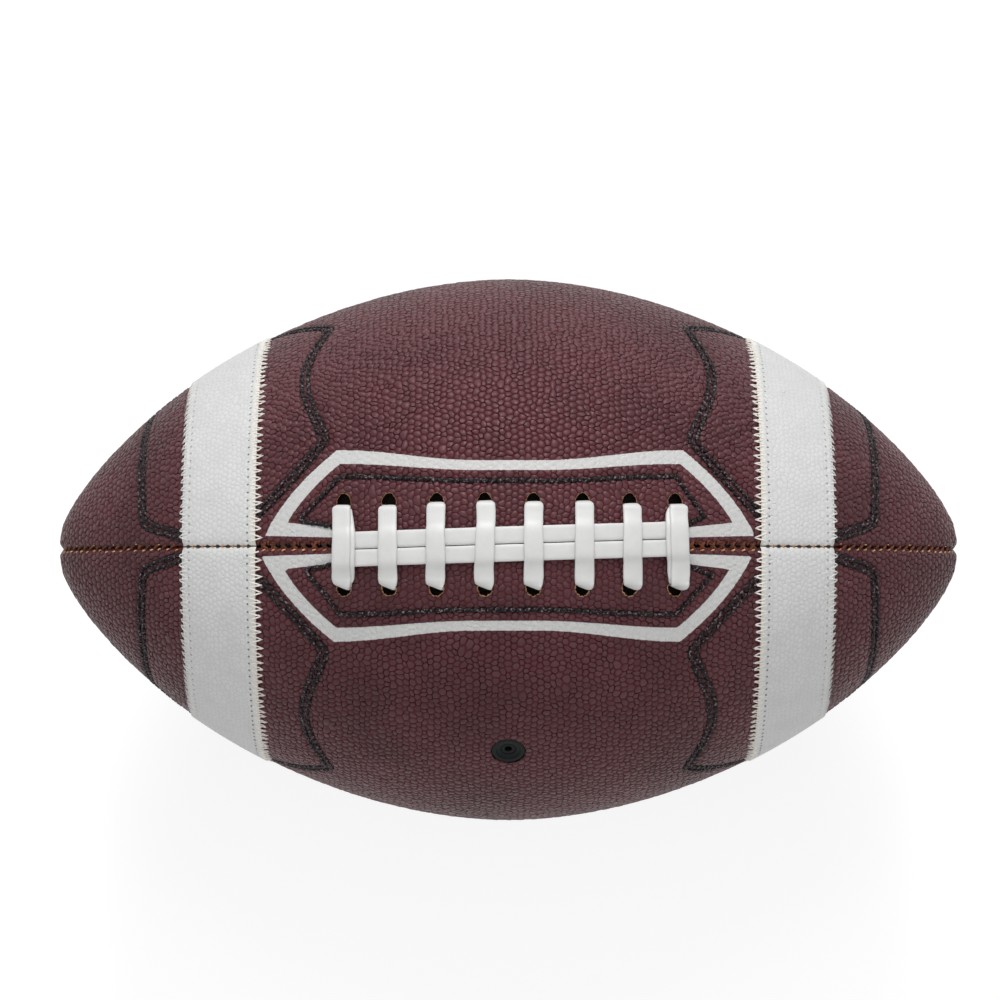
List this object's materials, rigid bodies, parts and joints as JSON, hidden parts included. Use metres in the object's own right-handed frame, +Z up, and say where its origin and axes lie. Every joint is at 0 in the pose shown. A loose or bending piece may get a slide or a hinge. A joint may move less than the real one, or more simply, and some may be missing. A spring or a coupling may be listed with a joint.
{
  "type": "american football",
  "caption": "Prolate leather ball sewn from four pebbled panels over a bladder, closed by a flat lace, with white stripes and an inflation valve.",
  "frame": {"origin": "centre of the footprint on the surface that the ball lies on, under the belly", "axes": "+X along the ball towards its fore tip, +Y to the left with the laces up and the fore tip ahead, +Z up through the laces"},
  "size_m": [0.285, 0.1704, 0.1743],
  "materials": {
    "leather": "pebbled brown leather",
    "lining": "woven cloth",
    "stripe": "white pebbled leather",
    "lace": "white flat lace with a fine grain",
    "facing": "plain undyed leather",
    "tongue": "plain undyed leather",
    "bladder": "smooth rubber",
    "valve_rubber": "moulded rubber",
    "thread": "waxed twisted thread"
  },
  "bodies": {
    "root": {"lace_panel_left": "leather", "lace_panel_right": "leather", "base_panel_left": "leather", "base_panel_right": "leather", "lace_lining_left": "lining", "lace_lining_right": "lining", "base_lining_left": "lining", "base_lining_right": "lining", "stripe_left_fore": "stripe", "stripe_left_aft": "stripe", "stripe_right_fore": "stripe", "stripe_right_aft": "stripe", "lace": "lace", "lace_facing_left": "facing", "lace_facing_right": "facing", "lace_tongue": "tongue", "bladder": "bladder", "valve_housing": "valve_rubber", "valve_plug": "valve_rubber", "lace_seam_thread_fore": "thread", "lace_seam_thread_aft": "thread", "left_seam_thread": "thread", "right_seam_thread": "thread", "base_seam_thread": "thread"}
  },
  "joints": []
}
